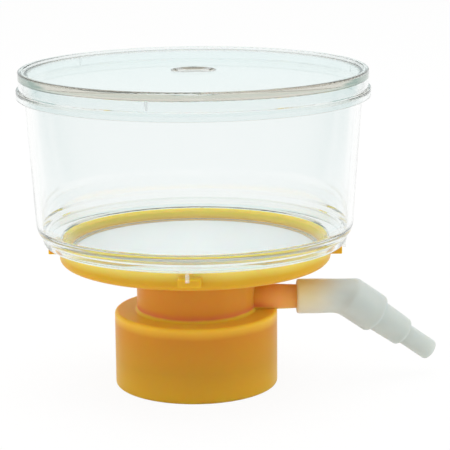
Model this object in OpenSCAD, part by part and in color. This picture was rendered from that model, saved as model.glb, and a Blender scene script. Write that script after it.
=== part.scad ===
// Bottle-top vacuum filter: clear cup with lid, membrane, one-piece base with
// bottle cap and side port, and a stepped elbow for the vacuum hose.
// Units mm, +Z up. Origin: on the bottle axis, in the plane of the cap's lower rim.
// +X points along the side port.

/* [Bottle cap] */
// outside diameter of the cap skirt
cap_d = 56; // [54:0.5:58]
// height of the cap, lower rim to top face
cap_h = 25.9; // [24:0.1:27]
// outside diameter of the bottle thread that the cap takes
bottle_thread_d = 45; // [44.6:0.1:45.4]
// thread pitch
thread_pitch = 4; // [3.5:0.1:4.5]

/* [Bowl] */
// outside diameter of the bowl rim
bowl_d = 92.6; // [91:0.2:94]
// height of the bowl's underside
bowl_z = 43.6; // [42:0.2:46]
// height of the bowl wall
bowl_h = 7.6; // [7:0.1:8.5]
// outside diameter of the neck between cap and bowl
neck_d = 40.6; // [39:0.2:42]
// thickness of the moulded walls of the base
base_wall = 2; // [1.6:0.1:2.2]
// how far the four tabs stand out from the bowl rim
tab_reach = 3.9; // [3:0.1:4.2]

/* [Side port] */
// height of the port's axis
port_z = 29.7; // [29.2:0.1:31]
// outside diameter of the port's spigot
port_d = 8.2; // [7.6:0.1:8.6]
// distance of the sleeve's mouth from the bottle axis
port_reach = 34.8; // [34:0.2:38]
// length of the spigot inside the sleeve
spigot_len = 12.2; // [10:0.1:13]
// bore of the port
port_bore = 3.8; // [3.4:0.1:3.9]

/* [Cup] */
// how far the cup's shoulder stands out beyond the bowl
shoulder_reach = 7.65; // [7.3:0.05:8.5]
// how far the wall leans out from the shoulder to the upper rim
cup_flare = 3.1; // [1.5:0.1:4.5]
// height of the cup wall above the shoulder
cup_h = 49.7; // [35:0.5:90]
// wall thickness of the cup
cup_wall = 1.7; // [1.4:0.1:2]

/* [Lid] */
// depth of the lid's skirt below its underside
lid_skirt = 6.3; // [5.5:0.1:9]
// thickness of the lid's plate
lid_plate = 2; // [1.8:0.1:3]
// diameter of the shallow dish in the middle of the lid
dish_d = 15.2; // [10:0.2:24]
// wall thickness of the lid's skirt
lid_wall = 1.25; // [1.1:0.05:1.6]

/* [Hose connector] */
// outside diameter of the sleeve
sleeve_d = 12; // [11.4:0.1:12.6]
// length of the sleeve, from its mouth to where the elbow's axes cross
sleeve_len = 17.7; // [17:0.1:20]
// bend of the elbow, degrees
bend = 38; // [30:1:50]
// how far the elbow is swivelled from straight down, degrees
swivel = 17; // [-90:1:90]
// outside diameter of the widest step
step_d = 14.4; // [13.8:0.1:15]
// outside diameter of the narrow step at the tip
tip_d = 7.3; // [6.8:0.1:8]
// length of each of the three steps
step_len = 12.5; // [10:0.1:14]

/* [Hidden] */
$fn = 96;
cap_r = cap_d / 2;
bowl_r = bowl_d / 2;
neck_r = neck_d / 2;
neck_ri = neck_r - base_wall;
rim_z = bowl_z + bowl_h;           // top edge of the bowl wall
seat_h = 4;
seat_z = bowl_z + seat_h;          // face that the membrane lies on
bevel_w = 2.5;                     // width of the weld bevel inside the bowl's rim
seat_w = 2.6;                      // width of the seat under the membrane's edge
seat_ro = bowl_r - bevel_w;
seat_ri = seat_ro - seat_w;        // also the free radius of the membrane
floor_t = 2.2;
floor_fall = 0.7;                  // how much the floor slopes down to the drain
drain_r = 3.7;
rib_t = 1;                         // support rings under the membrane
ring_step = 6;
channel_w = 2.4;                   // drain channels through the rings
root_r = bottle_thread_d / 2 + 0.4; // bore of the cap, between the thread's turns
crest_r = root_r - 1.3;
plate_t = base_wall + 0.5;
plate_z = cap_h - plate_t;         // underside of the cap's top plate
gasket_t = 2;
spout_z = plate_z + 0.6;           // lower end of the drip spout
thread_z = 5.5;
thread_turns = 2;
thread_arc = 36;                   // degrees of ridge in every 45
thread_rise = thread_turns * thread_pitch;
membrane_t = 0.25;
foot_z = seat_z + membrane_t;      // underside of the cup's clamping edge
shoulder_z = rim_z + 5.7;
cup_z = shoulder_z + cup_h;        // top of the cup wall
foot_ro = bowl_r + shoulder_reach;
cup_ro = foot_ro + cup_flare;
skirt_ri = foot_ro - 3.6;          // inner wall of the skirt round the bowl
tab_w = 7.3;
tab_t = 2.5;
tab_z = bowl_z + 2.3;
tab_ro = bowl_r + tab_reach;
tab_turn = -2.4;
skirt_gap = 0.4;
lug_w = 1.3;
lid_ri = cup_ro + 0.5;
lid_r = lid_ri + lid_wall;
lip_r = lid_r + 0.8;
lid_top = cup_z + lid_plate;       // top face of the lid's plate
rim_h = 0.8;                       // the raised edge round the plate
dish_h = 0.9;
port_r = port_d / 2;
port_end = port_reach + spigot_len;
port_root = neck_ri + 0.7;
sleeve_r = sleeve_d / 2;
elbow_x = port_reach + sleeve_len; // where the two axes of the elbow cross
fit_gap = 0.05;
step_r = step_d / 2;
tip_r = tip_d / 2;
mid_r = (step_r + tip_r) / 2 + 0.1;
step_round = 0.9;
connector_bore = 4.6;

// the bit of corner that a round of radius rad takes off a section
module nick(x, z, rad, sx, sz) {
  translate([x, z]) difference() {
    translate([sx > 0 ? -rad : -0.01, sz > 0 ? -rad : -0.01]) square(rad + 0.01);
    translate([-sx * rad, -sz * rad]) circle(rad);
  }
}

// the fillet that fills an inner corner of a section
module fillet(x, z, rad, sx, sz) {
  translate([x, z]) difference() {
    translate([sx > 0 ? -0.2 : -rad, sz > 0 ? -0.2 : -rad]) square(rad + 0.2);
    translate([sx * rad, sz * rad]) circle(rad);
  }
}

// a piece of a turned ring, as wide as a flat slice through it
module ring_piece(width, reach, angle) {
  rotate([0, 0, angle]) intersection() {
    rotate_extrude() children();
    translate([0, -width / 2, 0]) cube([reach, width, cup_z]);
  }
}

module base_section() {
  // cap: outer skirt, top plate and the inner collar that carries the thread
  difference() {
    union() {
      translate([cap_r - base_wall, 0]) square([base_wall, cap_h]);
      translate([neck_ri, plate_z]) square([cap_r - neck_ri, plate_t]);
      translate([root_r, 0]) square([base_wall, cap_h - 0.5]);
    }
    nick(cap_r, cap_h, 1.2, 1, 1);
    nick(cap_r, 0, 0.8, 1, -1);
  }
  // neck, with soft roots at both ends
  translate([neck_ri, plate_z]) square([base_wall, bowl_z + 1 - plate_z]);
  fillet(neck_r, cap_h, 1, 1, 1);
  fillet(neck_r, bowl_z, 1, 1, -1);
  // bowl: sloped floor, flat seat, weld bevel and outer wall
  difference() {
    polygon([
      [drain_r, bowl_z], [bowl_r, bowl_z], [bowl_r, rim_z], [bowl_r - 0.5, rim_z],
      [seat_ro, seat_z + 0.5], [seat_ro, seat_z], [seat_ri, seat_z],
      [seat_ri, bowl_z + floor_t], [drain_r, bowl_z + floor_t - floor_fall]
    ]);
    nick(bowl_r, bowl_z, 1.9, 1, -1);
    nick(bowl_r, rim_z, 0.3, 1, 1);
  }
  // drip spout, which ends below the side port
  translate([drain_r, spout_z]) square([1.5, bowl_z + 1 - spout_z]);
  // rings that hold the membrane up
  for (r = [ring_step * 1.5 : ring_step : seat_ri - 2 * rib_t])
    translate([r, bowl_z + 1]) square([rib_t, seat_h - 1]);
}

// interrupted thread: short arcs of a trapezium ridge, each tilted to the helix,
// with their crests bored out to one true cylinder
module bottle_thread() difference() {
  step = 45;
  tilt = atan(thread_pitch / (2 * PI * crest_r));
  foot = 1.45;
  crest = 0.4;
  union() for (i = [0 : thread_turns * 360 / step - 1])
    rotate([0, 0, i * step]) translate([0, 0, thread_z + i * thread_pitch * step / 360])
      rotate([tilt, 0, 0]) rotate([0, 0, -thread_arc / 2]) rotate_extrude(angle = thread_arc)
        polygon([[root_r + 0.4, -foot], [crest_r - 0.3, -crest],
                 [crest_r - 0.3, crest], [root_r + 0.4, foot]]);
  cylinder(h = thread_z + thread_rise + thread_pitch, r = crest_r);
}

module base() color([0.86, 0.62, 0.12]) {
  difference() {
    union() {
      difference() {
        rotate_extrude() base_section();
        // drain channels across the support rings
        for (a = [0 : 30 : 330]) rotate([0, 0, a + 15])
          translate([ring_step, -channel_w / 2, bowl_z + floor_t + 0.1])
            cube([seat_ri - 0.6 - ring_step, channel_w, seat_h]);
      }
      // ribs between the cap's skirt and the threaded collar
      for (a = [0 : 30 : 330]) rotate([0, 0, a])
        translate([root_r + base_wall - 0.3, -rib_t / 2, base_wall])
          cube([cap_r - root_r - 2 * base_wall + 0.6, rib_t, plate_z - base_wall + 0.2]);
      // tabs under the cup's foot
      for (k = [0 : 3]) ring_piece(tab_w, tab_ro + 1, 90 * k + tab_turn)
        difference() {
          translate([bowl_r - 1, tab_z]) square([tab_reach + 1, tab_t]);
          nick(tab_ro, tab_z, 0.3, 1, -1);
          nick(tab_ro, tab_z + tab_t, 0.3, 1, 1);
        }
      // side port: tapered root, then the spigot that the sleeve slides over
      translate([port_root, 0, port_z]) rotate([0, 90, 0])
        cylinder(h = port_reach - port_root, r1 = port_r + 0.6, r2 = port_r);
      translate([port_reach - 0.5, 0, port_z]) rotate([0, 90, 0])
        rotate_extrude() difference() {
          square([port_r, spigot_len + 0.5]);
          nick(port_r, spigot_len + 0.5, 0.5, 1, 1);
        }
      bottle_thread();
    }
    translate([neck_ri - 1.5, 0, port_z]) rotate([0, 90, 0])
      cylinder(h = port_end, r = port_bore / 2);
  }
}

module gasket() color([0.9, 0.9, 0.87])
  rotate_extrude() difference() {
    translate([neck_ri + 0.4, plate_z - gasket_t]) square([root_r - 0.3 - neck_ri - 0.4, gasket_t]);
    nick(root_r - 0.3, plate_z - gasket_t, 0.4, 1, -1);
    nick(neck_ri + 0.4, plate_z - gasket_t, 0.4, -1, -1);
  }

module port_plug() color([0.97, 0.97, 0.95])
  translate([port_reach, 0, port_z]) rotate([0, 90, 0])
    cylinder(h = spigot_len - 2, r = port_bore / 2 + 0.02);

module membrane() color([0.97, 0.98, 0.98])
  translate([0, 0, seat_z]) cylinder(h = membrane_t, r = seat_ro - 0.4);

module cup_section() {
  slope = (cup_ro - foot_ro) / cup_h;
  difference() {
    polygon([
      [cup_ro - cup_wall, cup_z], [cup_ro, cup_z], [foot_ro, shoulder_z],
      [foot_ro - 0.65, shoulder_z - 2], [foot_ro - 1.7, shoulder_z - 3.6],
      [foot_ro - 2.2, rim_z + 0.3], [foot_ro - 2.45, rim_z - 0.2],
      [skirt_ri, rim_z - 0.2], [skirt_ri, shoulder_z - 2.6],
      [bowl_r + 0.3, rim_z + 0.4], [bowl_r - 0.5, rim_z + 0.3],
      [seat_ro - 0.3, seat_z + 0.9], [seat_ro - 0.3, foot_z], [seat_ri, foot_z],
      [seat_ri, foot_z + 0.5], [bowl_r - 0.5, rim_z + 0.3 + 0.8 * cup_wall],
      [foot_ro - cup_wall - slope, shoulder_z + 0.5]
    ]);
    nick(cup_ro, cup_z, 0.4, 1, 1);
    nick(cup_ro - cup_wall, cup_z, 0.4, -1, 1);
  }
}

module cup() color([0.85, 0.95, 0.95, 0.3]) {
  rotate_extrude() cup_section();
  // a locating lug over each tab
  for (k = [0 : 3]) ring_piece(lug_w, foot_ro, 90 * k + tab_turn - 0.6)
    translate([tab_ro + skirt_gap, rim_z - 3.4])
      square([foot_ro - 2.5 - tab_ro - skirt_gap, 3.6]);
}

module lid() color([0.85, 0.95, 0.95, 0.3]) {
  low = cup_z - lid_skirt;
  rotate_extrude() difference() {
    polygon([
      [0, cup_z], [lid_ri, cup_z], [lid_ri - 0.15, cup_z - 3.4],
      [lid_ri + 0.55, cup_z - 4.8], [lid_ri + 0.65, low],
      [lip_r - 0.05, low], [lip_r - 0.1, cup_z - 3.6], [lid_r + 0.5, cup_z - 3.4],
      [lid_r - 0.25, cup_z - 3.2], [lid_r, lid_top - 1.2],
      [lid_r, lid_top + rim_h], [lid_ri - 0.3, lid_top + rim_h],
      [lid_ri - 0.3, lid_top], [dish_d / 2, lid_top],
      [dish_d / 2 - dish_h * tan(30), lid_top - dish_h], [0, lid_top - dish_h]
    ]);
    nick(lid_r, lid_top + rim_h, 0.6, 1, 1);
    nick(lip_r - 0.05, low, 0.35, 1, -1);
  }
  // three ribs that centre the lid on the cup
  for (a = [0 : 120 : 240]) ring_piece(0.9, lid_ri + 0.5, a - 104.7)
    translate([cup_ro + 0.15, cup_z - 3]) square([lid_ri - cup_ro, 3.2]);
}

// the elbow's stepped end, along +X from where the axes cross
module steps() rotate([0, 90, 0]) rotate_extrude()
  for (s = [[step_r, -0.7, 1, 0.25], [mid_r, 1, 2, 0.45], [tip_r, 2, 3, 0]])
    difference() {
      polygon([
        [0, s[1] <= 0 ? s[1] : s[1] * step_len - 1],
        [s[0], s[1] <= 0 ? s[1] : s[1] * step_len - 1],
        [s[0] - s[3], s[2] * step_len - step_round],
        [s[0] - s[3], s[2] * step_len], [0, s[2] * step_len]
      ]);
      nick(s[0] - s[3], s[2] * step_len, step_round, 1, 1);
    }

module connector() color([0.84, 0.87, 0.86]) {
  mitre = atan((step_r / sin(bend) - sleeve_r / tan(bend)) / sleeve_r);
  translate([0, 0, port_z]) difference() {
    union() {
      difference() {
        translate([port_reach - 0.2, 0, 0]) rotate([0, 90, 0]) rotate_extrude() difference() {
          square([sleeve_r, sleeve_len + sleeve_r]);
          nick(sleeve_r, 0, 0.8, 1, -1);
        }
        // mitred so that its outer line runs into the outer line of the first step
        translate([elbow_x - 0.25, 0, 0]) rotate([swivel, 0, 0]) rotate([0, mitre, 0])
          translate([0, -step_d, -step_d]) cube(2 * step_d);
      }
      translate([elbow_x, 0, 0]) rotate([swivel, 0, 0]) rotate([0, bend, 0]) steps();
    }
    // socket for the spigot, then the air way round the bend to the tip
    translate([port_reach - 1, 0, 0]) rotate([0, 90, 0])
      cylinder(h = spigot_len + 1.6, r = port_r + fit_gap);
    translate([port_reach, 0, 0]) rotate([0, 90, 0])
      cylinder(h = sleeve_len + connector_bore / 2, r = port_r - 1);
    translate([elbow_x, 0, 0]) rotate([swivel, 0, 0]) rotate([0, bend, 0]) rotate([0, 90, 0])
      cylinder(h = 3 * step_len + 1, r = connector_bore / 2);
  }
}

base();
gasket();
port_plug();
membrane();
cup();
lid();
connector();
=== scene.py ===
# %% [markdown]
# # A bottle-top vacuum filter
# A clear polystyrene cup with a loose lid stands on a yellow moulded base. The base screws onto
# a bottle with its cap, and a vacuum hose pushed on the stepped elbow draws the liquid through
# the membrane. The measured model already holds every piece at full size, so this lesson is
# about the other half: what each piece is made of, and how light passes through it.

# %% Load the measured model
import math

import bpy
from mathutils import Matrix, Vector


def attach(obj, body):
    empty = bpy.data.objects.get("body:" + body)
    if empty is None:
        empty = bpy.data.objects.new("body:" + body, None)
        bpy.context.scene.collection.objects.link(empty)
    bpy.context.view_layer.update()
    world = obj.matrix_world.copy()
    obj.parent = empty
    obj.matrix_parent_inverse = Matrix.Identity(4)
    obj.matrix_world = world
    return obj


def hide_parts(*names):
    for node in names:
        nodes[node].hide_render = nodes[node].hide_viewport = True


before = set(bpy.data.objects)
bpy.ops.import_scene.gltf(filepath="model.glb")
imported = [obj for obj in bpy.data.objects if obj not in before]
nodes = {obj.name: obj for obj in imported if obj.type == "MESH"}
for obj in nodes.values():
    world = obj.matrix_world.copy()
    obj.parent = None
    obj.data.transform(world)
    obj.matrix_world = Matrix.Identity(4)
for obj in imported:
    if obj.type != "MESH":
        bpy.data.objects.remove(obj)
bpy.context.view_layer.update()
print("nodes:", ", ".join(sorted(nodes)))

# %% [markdown]
# Sizes are easier to read in millimetres and colours as sRGB hex, so a factor and a small
# function turn them into what Blender wants: metres, and linear light.

# %% Units and colours
MM = 0.001


def linear(hex_colour):
    """An sRGB hex colour as linear red, green, blue and an alpha of 1."""
    parts = [int(hex_colour[i:i + 2], 16) / 255 for i in (1, 3, 5)]
    return [c / 12.92 if c <= 0.04045 else ((c + 0.055) / 1.055) ** 2.4 for c in parts] + [1.0]


WHITE = linear("#FFFFFF")
print("mid grey in linear light:", round(linear("#808080")[0], 3))

# %% [markdown]
# The camera comes first, because every later choice is judged through it. It is a long lens
# about 0.6 m away and 8 cm above the lid, and it looks down by 12.5 degrees, so that the rim,
# the membrane and the cap all show as flat ellipses. Its three turns are applied in the order
# swing, tip and roll.

# %% Camera
CAMERA_AT = Vector((0, -611.0, 190.6)) * MM
SWING, TIP, ROLL = -0.0167, 0.2182, 0.0079
lens = bpy.data.cameras.new("long_lens")
lens.sensor_width = 36
lens.lens = 146.5
camera = bpy.data.objects.new("camera", lens)
bpy.context.scene.collection.objects.link(camera)
camera.matrix_world = (
    Matrix.Translation(CAMERA_AT)
    @ Matrix.Rotation(SWING, 4, "Z")
    @ Matrix.Rotation(math.pi / 2 - TIP, 4, "X")
    @ Matrix.Rotation(-ROLL, 4, "Z")
)
bpy.context.scene.camera = camera
bpy.context.scene.view_settings.view_transform = "Standard"
print("camera looks down by", round(math.degrees(TIP), 1), "degrees")

# %% [markdown]
# Light that gets into the edge of a clear plate is mirrored from face to face many times before
# it comes out again. Cycles gives a ray up after 12 turns, or 4 mirrored ones, and draws black,
# which puts dark lines round the cup and lid, so rays may turn more often here.

# %% Long light paths
MOST_TURNS = 48
cycles = bpy.context.scene.cycles
cycles.max_bounces = cycles.transmission_bounces = cycles.glossy_bounces = MOST_TURNS
print("a ray may turn", cycles.max_bounces, "times")

# %% [markdown]
# Every material below is a handful of nodes. One helper adds a node, sets its options, and
# fills its inputs: a socket is linked, and anything else is set as the input's value.

# %% Node helper


def add(tree, kind, inputs=None, **options):
    """Adds a node to a tree, sets its options and fills its inputs by name or number."""
    node = tree.nodes.new(kind)
    for name, value in options.items():
        setattr(node, name, value)
    for name, value in (inputs or {}).items():
        if isinstance(value, bpy.types.NodeSocket):
            tree.links.new(value, node.inputs[name])
        else:
            node.inputs[name].default_value = value
    return node


def new_material(name):
    """An empty material and its node tree."""
    material = bpy.data.materials.new(name)
    material.use_nodes = True
    material.node_tree.nodes.clear()
    return material, material.node_tree


print("helper ready")

# %% [markdown]
# The same few nodes come up again and again: arithmetic, a change of range, a mix, a ramp, a
# noise and a bump. Each gets a short name here, and gives back the socket with its result.

# %% Short names for common nodes


def maths(tree, operation, *values):
    """One step of arithmetic on sockets and numbers."""
    return add(tree, "ShaderNodeMath", dict(enumerate(values)), operation=operation).outputs[0]


def carried(tree, value, source=(0.0, 1.0), target=(0.0, 1.0), **options):
    """A value carried over from one range to another, and held at the ends."""
    return add(tree, "ShaderNodeMapRange",
               {"Value": value, "From Min": source[0], "From Max": source[1],
                "To Min": target[0], "To Max": target[1]}, **options).outputs[0]


def mixed_colour(tree, share, first, second):
    """A colour that goes from the first to the second as a share goes from 0 to 1."""
    return add(tree, "ShaderNodeMix", {"Factor": share, "A": first, "B": second},
               data_type="RGBA").outputs["Result"]


def mixed_shader(tree, share, first, second):
    """A shader that goes from the first to the second as a share goes from 0 to 1."""
    return add(tree, "ShaderNodeMixShader", {0: share, 1: first, 2: second}).outputs[0]


def ramp(tree, value, tones):
    """A colour looked up in a table from places between 0 and 1 to sRGB hex colours."""
    node = add(tree, "ShaderNodeValToRGB", {0: value})
    stops = node.color_ramp.elements
    stops.remove(stops[1])
    for number, (place, tone) in enumerate(tones.items()):
        stop = stops.new(place) if number else stops[0]
        stop.position, stop.color = place, linear(tone)
    return node.outputs["Color"]


def noise(tree, at, patch_mm, detail=2.0, **inputs):
    """A cloudy value from 0 to 1 with patches of about a size in millimetres."""
    return add(tree, "ShaderNodeTexNoise",
               {"Vector": at, "Scale": 1 / (patch_mm * MM), "Detail": detail, **inputs}
               ).outputs["Fac"]


def bump(tree, pattern, strength, height_mm):
    """Normals for a surface that rises by a height in millimetres where a pattern is 1."""
    return add(tree, "ShaderNodeBump", {"Height": pattern, "Strength": strength,
                                        "Distance": height_mm * MM}).outputs[0]


def place_of(tree):
    """The socket with a point's place on its object, in metres."""
    return add(tree, "ShaderNodeTexCoord").outputs["Object"]


print("short names ready")

# %% [markdown]
# A mask is a value that is 1 in one region and 0 elsewhere. Most of the object is turned about
# the bottle axis, so a region is named by its distance from that axis and by its height.

# %% Masks


def radius_and_height(tree):
    """Two sockets with a point's distance from the bottle axis and its height, in metres."""
    at = place_of(tree)
    flat = add(tree, "ShaderNodeVectorMath", {0: at, 1: (1, 1, 0)}, operation="MULTIPLY")
    out = add(tree, "ShaderNodeVectorMath", {0: flat.outputs[0]}, operation="LENGTH")
    return out.outputs["Value"], add(tree, "ShaderNodeSeparateXYZ", {0: at}).outputs["Z"]


def both(tree, first, second):
    """A mask that is 1 where two masks are."""
    return maths(tree, "MULTIPLY", first, second)


def below(tree, value, mm):
    """A mask that is 1 where a value in metres is under a size in millimetres."""
    return maths(tree, "LESS_THAN", value, mm * MM)


def above(tree, value, mm):
    """A mask that is 1 where a value in metres is over a size in millimetres."""
    return maths(tree, "GREATER_THAN", value, mm * MM)


def near(tree, value, mm, reach_mm):
    """A mask that is 1 where a value in metres is within a reach of a size, in millimetres."""
    return maths(tree, "COMPARE", value, mm * MM, reach_mm * MM)


print("masks ready")

# %% [markdown]
# ## The studio
# Labware is usually shot in a light tent: white cloth behind, overhead and below, and a dimmer
# room beyond it. Clear plastic has almost no colour of its own. It shows what it bends and
# mirrors into view, so the tent has a warm grey top that the thick edges of the lid pick up, and
# mirrored rays that leave low, to the sides or to the front, find the room cool and dim. That
# keeps the white veil off the plastic and lets the yellow show through at full strength. The
# camera sees plain white, light that falls on plastic from outside gets a plain fill, and light
# that has passed the clear walls to reach what stands inside gets a stronger one.

# %% Backdrop
TENT_TONES = {0.04: "#FFFFFF", 0.11: "#EAF8F9", 0.20: "#F8F9F5", 0.45: "#DAD4C8",
              0.75: "#E4E3DC"}
ROOM_TONE = linear("#B2CCCB")
OUTSIDE_FILL = (0.72, 0.90)
INSIDE_FILL = 1.25
SIDE_WEIGHT = 1.2
ONE_TURN = 0.5  # a ray's turns are a whole number, so more than a half is at least one


def behind(tree, part):
    """How far a direction or place lies behind the object, counted less off to the sides."""
    return maths(tree, "MULTIPLY_ADD", maths(tree, "ABSOLUTE", part["X"]), -SIDE_WEIGHT, part["Y"])


def bent_ray(tree, ray):
    """A mask that is 1 for rays that plastic has mirrored or let through."""
    return maths(tree, "MAXIMUM", ray["Is Glossy Ray"], ray["Is Transmission Ray"])


world = bpy.data.worlds.new("light_tent")
bpy.context.scene.world = world
world.use_nodes = True
tree = world.node_tree
tree.nodes.clear()
ray = add(tree, "ShaderNodeLightPath").outputs
direction = add(tree, "ShaderNodeTexCoord").outputs["Generated"]
part = add(tree, "ShaderNodeSeparateXYZ", {0: direction}).outputs
tent = ramp(tree, part["Z"], TENT_TONES)
open_side = carried(tree, behind(tree, part), source=(-0.6, -0.1), target=(1.0, 0.0))
low = carried(tree, part["Z"], source=(0.3, 0.5), target=(1.0, 0.0))
mirrored = maths(tree, "GREATER_THAN", ray["Glossy Depth"], ONE_TURN)
dim = both(tree, both(tree, open_side, low), mirrored)
room = mixed_colour(tree, dim, tent, ROOM_TONE)
scattered = maths(tree, "GREATER_THAN", ray["Diffuse Depth"], ONE_TURN)
front_to_back = carried(tree, part["Y"], source=(-1.0, 1.0), target=OUTSIDE_FILL)
fill = add(tree, "ShaderNodeBackground", {"Color": WHITE, "Strength": front_to_back}).outputs[0]
inside_fill = add(tree, "ShaderNodeBackground",
                  {"Color": WHITE, "Strength": INSIDE_FILL}).outputs[0]
bent_view = add(tree, "ShaderNodeBackground", {"Color": room, "Strength": 1.0}).outputs[0]
straight_view = add(tree, "ShaderNodeBackground", {"Color": WHITE, "Strength": 1.0}).outputs[0]
through_plastic = mixed_shader(tree, scattered, bent_view, inside_fill)
lit = mixed_shader(tree, bent_ray(tree, ray), fill, through_plastic)
shown = mixed_shader(tree, ray["Is Camera Ray"], lit, straight_view)
add(tree, "ShaderNodeOutputWorld", {"Surface": shown})
print("backdrop: white to the eye, a dim room for mirrored rays")

# %% [markdown]
# The floor is a wide pale sheet. A real one would need much more lamp light than the object to
# look white, so most of its brightness is given to it directly, for rays that come from the
# camera or out of the plastic. In a mirrored view its front and sides are as dim as the room.
# The rest is ordinary diffuse paper, which keeps the soft shadow under the cap.

# %% Floor
GLOW_SHARE = 0.92
GRAINS_PER_METRE = 900.0
FLOOR_RADIUS = 6
material, tree = new_material("white_sweep_paper")
ray = add(tree, "ShaderNodeLightPath").outputs
seen = maths(tree, "MAXIMUM", bent_ray(tree, ray), ray["Is Camera Ray"])
at = place_of(tree)
grain = add(tree, "ShaderNodeTexNoise", {"Vector": at, "Scale": GRAINS_PER_METRE})
paper = add(tree, "ShaderNodeBsdfPrincipled",
            {"Base Color": linear("#F7F7F5"), "Roughness": 0.9, "Specular IOR Level": 0.1,
             "Normal": bump(tree, grain.outputs["Fac"], strength=0.05, height_mm=0.1)})
place = add(tree, "ShaderNodeSeparateXYZ", {0: at}).outputs
open_side = carried(tree, behind(tree, place), source=(-0.30, -0.12), target=(1.0, 0.0))
mirrored = maths(tree, "GREATER_THAN", ray["Glossy Depth"], ONE_TURN)
unscattered = maths(tree, "LESS_THAN", ray["Diffuse Depth"], ONE_TURN)
dim = both(tree, open_side, both(tree, mirrored, unscattered))
glow = add(tree, "ShaderNodeEmission",
           {"Color": mixed_colour(tree, dim, WHITE, ROOM_TONE), "Strength": 1.0})
sheet = mixed_shader(tree, maths(tree, "MULTIPLY", seen, GLOW_SHARE),
                     paper.outputs[0], glow.outputs[0])
add(tree, "ShaderNodeOutputMaterial", {"Surface": sheet})
bpy.ops.mesh.primitive_circle_add(vertices=96, radius=FLOOR_RADIUS, fill_type="NGON")
floor = bpy.context.object
floor.name = "floor"
floor.data.materials.append(material)
print("floor", floor.dimensions.x, "m across")

# %% [markdown]
# Two tall cloth panels light the object from both sides, and a third from above and a little
# behind. With the light at the sides, a round cap is brightest towards its edges and a shade
# darker where it faces the camera, as in a tent.

# %% Lamps
MIDDLE = Vector((0, 0, 55)) * MM


def panel(name, at, size, power):
    """A soft lamp that faces the object's middle: place and size in mm, power in watts."""
    lamp = bpy.data.lights.new(name, "AREA")
    lamp.shape = "RECTANGLE"
    lamp.size, lamp.size_y = size[0] * MM, size[1] * MM
    lamp.energy = power
    holder = bpy.data.objects.new(name, lamp)
    bpy.context.scene.collection.objects.link(holder)
    holder.location = Vector(at) * MM
    holder.visible_glossy = holder.visible_transmission = False
    holder.rotation_euler = (MIDDLE - holder.location).to_track_quat("-Z", "Y").to_euler()


panel("left_panel", (-950, -150, 350), (700, 900), 1.9)
panel("right_panel", (950, -150, 380), (700, 900), 2.2)
panel("top_panel", (0, 150, 1100), (900, 900), 5.2)

# %% [markdown]
# ## Clear polystyrene
# The cup and lid are injection-moulded crystal polystyrene. It is colourless, brittle and very
# glossy, with a high refractive index of 1.59, which is why its edges show so clearly. A glass
# shader with that index does most of the work. Moulded walls are never quite flat, so a wide,
# shallow waviness goes into the normals. Lamps have to reach what stands inside, and bent light
# is slow to find, so for shadow rays alone the plastic lets everything straight through.

# %% Clear polystyrene material
POLYSTYRENE_INDEX = 1.59


def clear_polystyrene(name, tint, depth_tint, depth, wave_mm, wave_height_mm):
    """Glossy clear plastic with a faint tint, a tint in its depth and moulding waves."""
    material, tree = new_material(name)
    waves = noise(tree, place_of(tree), wave_mm, detail=1.0, Roughness=0.4)
    plastic = add(tree, "ShaderNodeBsdfPrincipled",
                  {"Base Color": linear(tint), "Roughness": 0.015, "IOR": POLYSTYRENE_INDEX,
                   "Transmission Weight": 1.0,
                   "Normal": bump(tree, waves, strength=1.0, height_mm=wave_height_mm)})
    through = add(tree, "ShaderNodeBsdfTransparent", {"Color": WHITE})
    ray = add(tree, "ShaderNodeLightPath").outputs
    surface = mixed_shader(tree, ray["Is Shadow Ray"], plastic.outputs[0], through.outputs[0])
    deep = add(tree, "ShaderNodeVolumeAbsorption",
               {"Color": linear(depth_tint), "Density": depth})
    add(tree, "ShaderNodeOutputMaterial", {"Surface": surface, "Volume": deep.outputs[0]})
    return material, tree, plastic


def dress(node, material):
    """Puts one material on a node of the measured model."""
    mesh_object = nodes[node]
    if not mesh_object.material_slots:
        mesh_object.data.materials.append(material)
    for slot in mesh_object.material_slots:
        slot.material = material
    print(node, "is", material.name)


# %% [markdown]
# The cup's foot is welded into the yellow bowl. A weld leaves no air between the two plastics,
# so nothing is mirrored there, and the yellow shows through the clear foot at its full strength
# from every side. On the weld's cone, and only there, the cup's surface is opaque yellow instead
# of glass. That yellow is painted light: bright, and lighter towards its top, for the light that
# comes in through the clear foot. The little lug over each tab is frosted, as small corners of a
# mould often are.

# %% Cup
CUP_TINT = "#FEFFFF"
WELD_SLOPE, WELD_TOP_MM = 0.98, 7.27
WELD_RADIUS_MM, WELD_REACH_MM = 44.0, 0.8
WELD_LOW_MM, WELD_HIGH_MM = 48.0, 49.8
LUG_TOP_MM, LUG_RADIUS_MM, LUG_FROST = 50.7, 49.5, 0.25
material, tree, plastic = clear_polystyrene("clear_moulded_polystyrene", CUP_TINT, "#F1F4F1",
                                            depth=30.0, wave_mm=22, wave_height_mm=0.012)
out, up = radius_and_height(tree)
over_cone = maths(tree, "MULTIPLY_ADD", out, -WELD_SLOPE, up)
weld = both(tree, below(tree, over_cone, WELD_TOP_MM),
            near(tree, out, WELD_RADIUS_MM, WELD_REACH_MM))
lug = both(tree, below(tree, up, LUG_TOP_MM), above(tree, out, LUG_RADIUS_MM))
# Painted light: the weld's yellow grows lighter with height.
rise = carried(tree, up, source=(WELD_LOW_MM * MM, WELD_HIGH_MM * MM))
amber = mixed_colour(tree, rise, linear("#FFD458"), linear("#FFE83C"))
solid = maths(tree, "MAXIMUM", weld, maths(tree, "MULTIPLY", lug, LUG_FROST))
for name, socket in (
        ("Base Color", mixed_colour(tree, weld, linear(CUP_TINT), amber)),
        ("Transmission Weight", maths(tree, "SUBTRACT", 1.0, solid)),
        ("Specular IOR Level", carried(tree, weld, target=(0.5, 0.0)))):
    tree.links.new(socket, plastic.inputs[name])
dress("cup", material)
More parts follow.
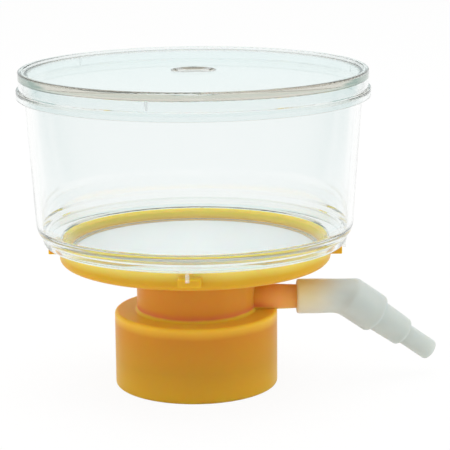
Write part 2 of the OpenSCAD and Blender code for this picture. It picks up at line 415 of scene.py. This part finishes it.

# %% [markdown]
# The lid is the same plastic in one flat plate. Two places on it are less clear than the rest.
# The ribs inside its skirt are frosted, because a mould is seldom polished that deep, and the
# sloped edge of the round dish in the middle is tinted grey: a painted reflection, for the dark
# line that a sloped clear edge shows.

# %% Lid
LID_TINT = "#FAFDFD"
RIB_RADIUS_MM, RIB_TOP_MM, RIB_CLEARNESS = 57.35, 106.5, 0.4
DISH_RADIUS_MM, DISH_REACH_MM, TOP_FACE_MM = 7.35, 0.4, 107.9
material, tree, plastic = clear_polystyrene("clear_lid_polystyrene", LID_TINT, "#F4F1EC",
                                            depth=25.0, wave_mm=30, wave_height_mm=0.010)
out, up = radius_and_height(tree)
rib = both(tree, below(tree, out, RIB_RADIUS_MM), below(tree, up, RIB_TOP_MM))
# Painted reflection: the dish's sloped edge is tinted grey for its dark line.
dark_dish_edge_line = both(tree, near(tree, out, DISH_RADIUS_MM, DISH_REACH_MM),
                 above(tree, up, TOP_FACE_MM))
for name, socket in (
        ("Base Color", mixed_colour(tree, dark_dish_edge_line, linear(LID_TINT), linear("#A9B1B6"))),
        ("Transmission Weight", carried(tree, rib, target=(1.0, RIB_CLEARNESS)))):
    tree.links.new(socket, plastic.inputs[name])
dress("lid", material)

# %% [markdown]
# ## Yellow polystyrene
# The base is one moulding in tinted polystyrene, and the pigment lets a little light through. A
# ramp up the height sets the hue, with one level in millimetres for each form of the moulding,
# and a slow noise moves its borders by up to half a millimetre. The ramp also holds painted light
# and shade: painted shade turns the crevice over the cap red as amber and the waist under the
# bowl a deeper gold, and painted light turns the bowl's rim lemon, where light comes in through
# the clear foot. Three places get a tone of their own: the port's tube, lightened as painted
# light where it sits in the bowl's shade, the bowl's inner wall at the weld, a bright painted
# light for what reaches it through the cup, and the small tabs, a darker gold than the ramp
# beside them. Subsurface scattering with a long red reach does the rest. The surface is polished
# but not mirror-like, with a hint of moulding texture.

# %% Yellow polystyrene material
# Painted shade and light: red-orange at 27.2 mm in the crevice, lemon from 48 mm up at the rim.
HUE_AND_PAINTED_SHADE_LEVELS_MM = {2: "#DAA834", 10: "#CC9832", 22: "#CF8C30", 26.5: "#F8CE4C", 27.2: "#E0804E",
             29: "#DD963C", 40: "#DD973A", 43.5: "#CC9A30", 46.5: "#D2A834", 48.2: "#DCC65C",
             49.6: "#ECDA74", 51: "#F2E07C"}
LOWEST_MM, HIGHEST_MM = 2, 54
DRIFT_MM = 1
TUBE_FROM_MM, TUBE_FULL_MM = 20.6, 29.0
TUBE_HEIGHT_MM, TUBE_REACH_MM = 30.3, 4.1
INNER_WALL_MM, INNER_FOOT_MM = 46.15, 48.2
TAB_RADIUS_MM = 47.0
material, tree = new_material("yellow_moulded_polystyrene")
at = place_of(tree)
flow = noise(tree, at, 14)
height = add(tree, "ShaderNodeSeparateXYZ", {0: at}).outputs["Z"]
drifted = maths(tree, "MULTIPLY_ADD", flow, DRIFT_MM * MM, height)
level = carried(tree, drifted, source=((LOWEST_MM + DRIFT_MM / 2) * MM,
                                       (HIGHEST_MM + DRIFT_MM / 2) * MM))
shade = ramp(tree, level, {(mm - LOWEST_MM) / (HIGHEST_MM - LOWEST_MM): tone
                           for mm, tone in HUE_AND_PAINTED_SHADE_LEVELS_MM.items()})
out, up = radius_and_height(tree)
# Painted light: the port's tube is lightened where it sits in the bowl's shade.
tube = both(tree, carried(tree, out, source=(TUBE_FROM_MM * MM, TUBE_FULL_MM * MM)),
            near(tree, up, TUBE_HEIGHT_MM, TUBE_REACH_MM))
# Painted light: the bowl's inner wall at the weld is a brighter yellow for light through the cup.
lit_inner_wall = both(tree, below(tree, out, INNER_WALL_MM), above(tree, up, INNER_FOOT_MM))
tab = above(tree, out, TAB_RADIUS_MM)
hue_with_painted_light = shade
for mask, tone in ((tube, "#FFB264"), (lit_inner_wall, "#FFE030"), (tab, "#CCA834")):
    hue_with_painted_light = mixed_colour(tree, mask, hue_with_painted_light, linear(tone))
skin = noise(tree, at, 1.2)
yellow = add(tree, "ShaderNodeBsdfPrincipled",
             {"Base Color": hue_with_painted_light, "Roughness": carried(tree, flow, target=(0.27, 0.36)),
              "IOR": POLYSTYRENE_INDEX, "Specular IOR Level": 0.04, "Subsurface Weight": 0.8,
              "Subsurface Radius": (1.0, 0.35, 0.06), "Subsurface Scale": 5.0 * MM,
              "Normal": bump(tree, skin, strength=0.3, height_mm=0.02)})
add(tree, "ShaderNodeOutputMaterial", {"Surface": yellow.outputs[0]})
dress("base", material)

# %% [markdown]
# ## Membrane
# A microporous film, cast and dried. Its pores are far below what the eye can see, but they
# scatter all light, so it is an even, matt, slightly cool white. Only the faintest clouding
# shows, and that is drawn at about 2 mm, much coarser than the pores.

# %% Membrane material
material, tree = new_material("microporous_film")
at = place_of(tree)
white = ramp(tree, noise(tree, at, 2.0, detail=3.0), {0: "#DDE0DF", 1: "#E2E4E3"})
film = add(tree, "ShaderNodeBsdfPrincipled",
           {"Base Color": white, "Roughness": 0.62, "IOR": 1.5,
            "Subsurface Weight": 0.2, "Subsurface Scale": 1.0 * MM,
            "Normal": bump(tree, noise(tree, at, 0.4), strength=0.3, height_mm=0.02)})
add(tree, "ShaderNodeOutputMaterial", {"Surface": film.outputs[0]})
dress("membrane", material)

# %% [markdown]
# ## Natural polyethylene
# The hose elbow is moulded in unpigmented polyethylene: milky, waxy and slightly see-through.
# Scattering gives the milk. The amber spigot inside the sleeve shows as a warm glow that fades
# along the port and is weaker on the underside, where less light comes through. The glow is
# painted light, drawn as a tint, because little light gets in and out again, and a render is
# slow to find it. Past the end of the spigot the tube is hollow and lets more through.

# %% Natural polyethylene material
GLOW_FROM_MM, GLOW_TO_MM = 35, 51
UNDERSIDE_MM, TOPSIDE_MM, UNDERSIDE_GLOW = 24, 36, 0.25
HOLLOW_FROM_MM, HOLLOW_FULL_MM = 44, 54
material, tree = new_material("natural_polyethylene")
at = place_of(tree)
milk = ramp(tree, noise(tree, at, 6), {0: "#D2DAD6", 1: "#D9DFDB"})
place = add(tree, "ShaderNodeSeparateXYZ", {0: at}).outputs
along = carried(tree, place["X"], source=(GLOW_FROM_MM * MM, GLOW_TO_MM * MM),
                target=(1.0, 0.0), interpolation_type="SMOOTHSTEP")
# Painted light: the glow is a quarter as strong on the underside as on top.
over = carried(tree, place["Z"], source=(UNDERSIDE_MM * MM, TOPSIDE_MM * MM),
               target=(UNDERSIDE_GLOW, 1.0))
warm = mixed_colour(tree, maths(tree, "MULTIPLY", along, over), milk, linear("#FFE6A0"))
hollow = carried(tree, place["X"], source=(HOLLOW_FROM_MM * MM, HOLLOW_FULL_MM * MM),
                 target=(0.05, 0.3))
waxy = add(tree, "ShaderNodeBsdfPrincipled",
           {"Base Color": warm, "Roughness": 0.42, "IOR": 1.51,
            "Transmission Weight": hollow, "Subsurface Weight": 0.7,
            "Subsurface Radius": (1.0, 0.85, 0.7), "Subsurface Scale": 3.0 * MM,
            "Normal": bump(tree, noise(tree, at, 0.8), strength=0.4, height_mm=0.02)})
seep = add(tree, "ShaderNodeBsdfTransparent", {"Color": linear("#C8C8C4")})
ray = add(tree, "ShaderNodeLightPath").outputs
lit_inside = mixed_shader(tree, ray["Is Shadow Ray"], waxy.outputs[0], seep.outputs[0])
add(tree, "ShaderNodeOutputMaterial", {"Surface": lit_inside})
polyethylene = material
print("material", polyethylene.name)

# %% [markdown]
# Polyethylene shrinks as it cools, and an old tool has no sharp corner left in it, so every edge
# of the elbow is soft, and the bend flows from one tube into the other. The measured elbow is
# remeshed into small even cells, which are then smoothed: that rounds all edges at once, inside
# and out, without a bevel for each. The bend is smoothed once more, many times over, with a
# weight that fades out along both tubes.

# %% Soft-edged elbow
BEND_AT = Vector((52.5, 0, 29.7)) * MM
BEND_REACH_MM, BEND_FADE_MM, BEND_PASSES = 12, 5, 200


def softened_copy(node, name, cell_mm, passes):
    """A new mesh object with a node's shape in even cells, and its edges rounded."""
    copy = bpy.data.objects.new(name, nodes[node].data.copy())
    bpy.context.scene.collection.objects.link(copy)
    cells = copy.modifiers.new("even_cells", "REMESH")
    cells.mode, cells.voxel_size, cells.use_smooth_shade = "VOXEL", cell_mm * MM, True
    rounding = copy.modifiers.new("rounding", "SMOOTH")
    rounding.factor, rounding.iterations = 0.5, passes
    made = copy.evaluated_get(bpy.context.evaluated_depsgraph_get())
    mesh = bpy.data.meshes.new_from_object(made)
    copy.modifiers.clear()
    copy.data = mesh
    return copy


elbow = softened_copy("connector", "soft_elbow", cell_mm=0.32, passes=6)
elbow.data.materials.clear()
elbow.data.materials.append(polyethylene)
round_bend = elbow.vertex_groups.new(name="round_the_bend")
for vertex in elbow.data.vertices:
    distance_mm = (vertex.co - BEND_AT).length / MM
    weight = min(1.0, (BEND_REACH_MM - distance_mm) / BEND_FADE_MM)
    if weight > 0:
        round_bend.add([vertex.index], weight, "REPLACE")
flowing = elbow.modifiers.new("bend_rounding", "SMOOTH")
flowing.vertex_group, flowing.factor, flowing.iterations = round_bend.name, 0.5, BEND_PASSES
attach(elbow, "hose_elbow")
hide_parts("connector")
print(elbow.name, "has", len(elbow.data.polygons), "faces")

# %% [markdown]
# ## Foam gasket and cotton plug
# Two small soft pieces are all but hidden. The gasket under the cap's top plate is closed-cell
# foam, with cells of about half a millimetre that show as a fine pitting. The plug that keeps
# germs out of the port is pressed cotton, whose fibres run every way and lie mostly along it.

# %% Foam and cotton materials
material, tree = new_material("closed_cell_foam")
cells = add(tree, "ShaderNodeTexVoronoi",
            {"Vector": place_of(tree), "Scale": 1 / (0.5 * MM)}).outputs["Distance"]
foam = add(tree, "ShaderNodeBsdfPrincipled",
           {"Base Color": ramp(tree, cells, {0: "#DCDCD4", 1: "#F0F0EA"}), "Roughness": 0.85,
            "IOR": 1.5, "Normal": bump(tree, cells, strength=0.5, height_mm=0.1)})
add(tree, "ShaderNodeOutputMaterial", {"Surface": foam.outputs[0]})
dress("gasket", material)

material, tree = new_material("pressed_cotton")
combed = add(tree, "ShaderNodeMapping", {"Vector": place_of(tree), "Scale": (0.15, 1.0, 1.0)})
fibres = noise(tree, combed.outputs[0], 0.3, detail=4.0, Distortion=1.2)
cotton = add(tree, "ShaderNodeBsdfPrincipled",
             {"Base Color": ramp(tree, fibres, {0: "#E2E2DC", 1: "#FAFAF7"}), "Roughness": 0.95,
              "IOR": 1.5, "Sheen Weight": 0.3,
              "Normal": bump(tree, fibres, strength=0.8, height_mm=0.15)})
add(tree, "ShaderNodeOutputMaterial", {"Surface": cotton.outputs[0]})
dress("port_plug", material)

# %% [markdown]
# ## Finish

# %% Finish
print("done")
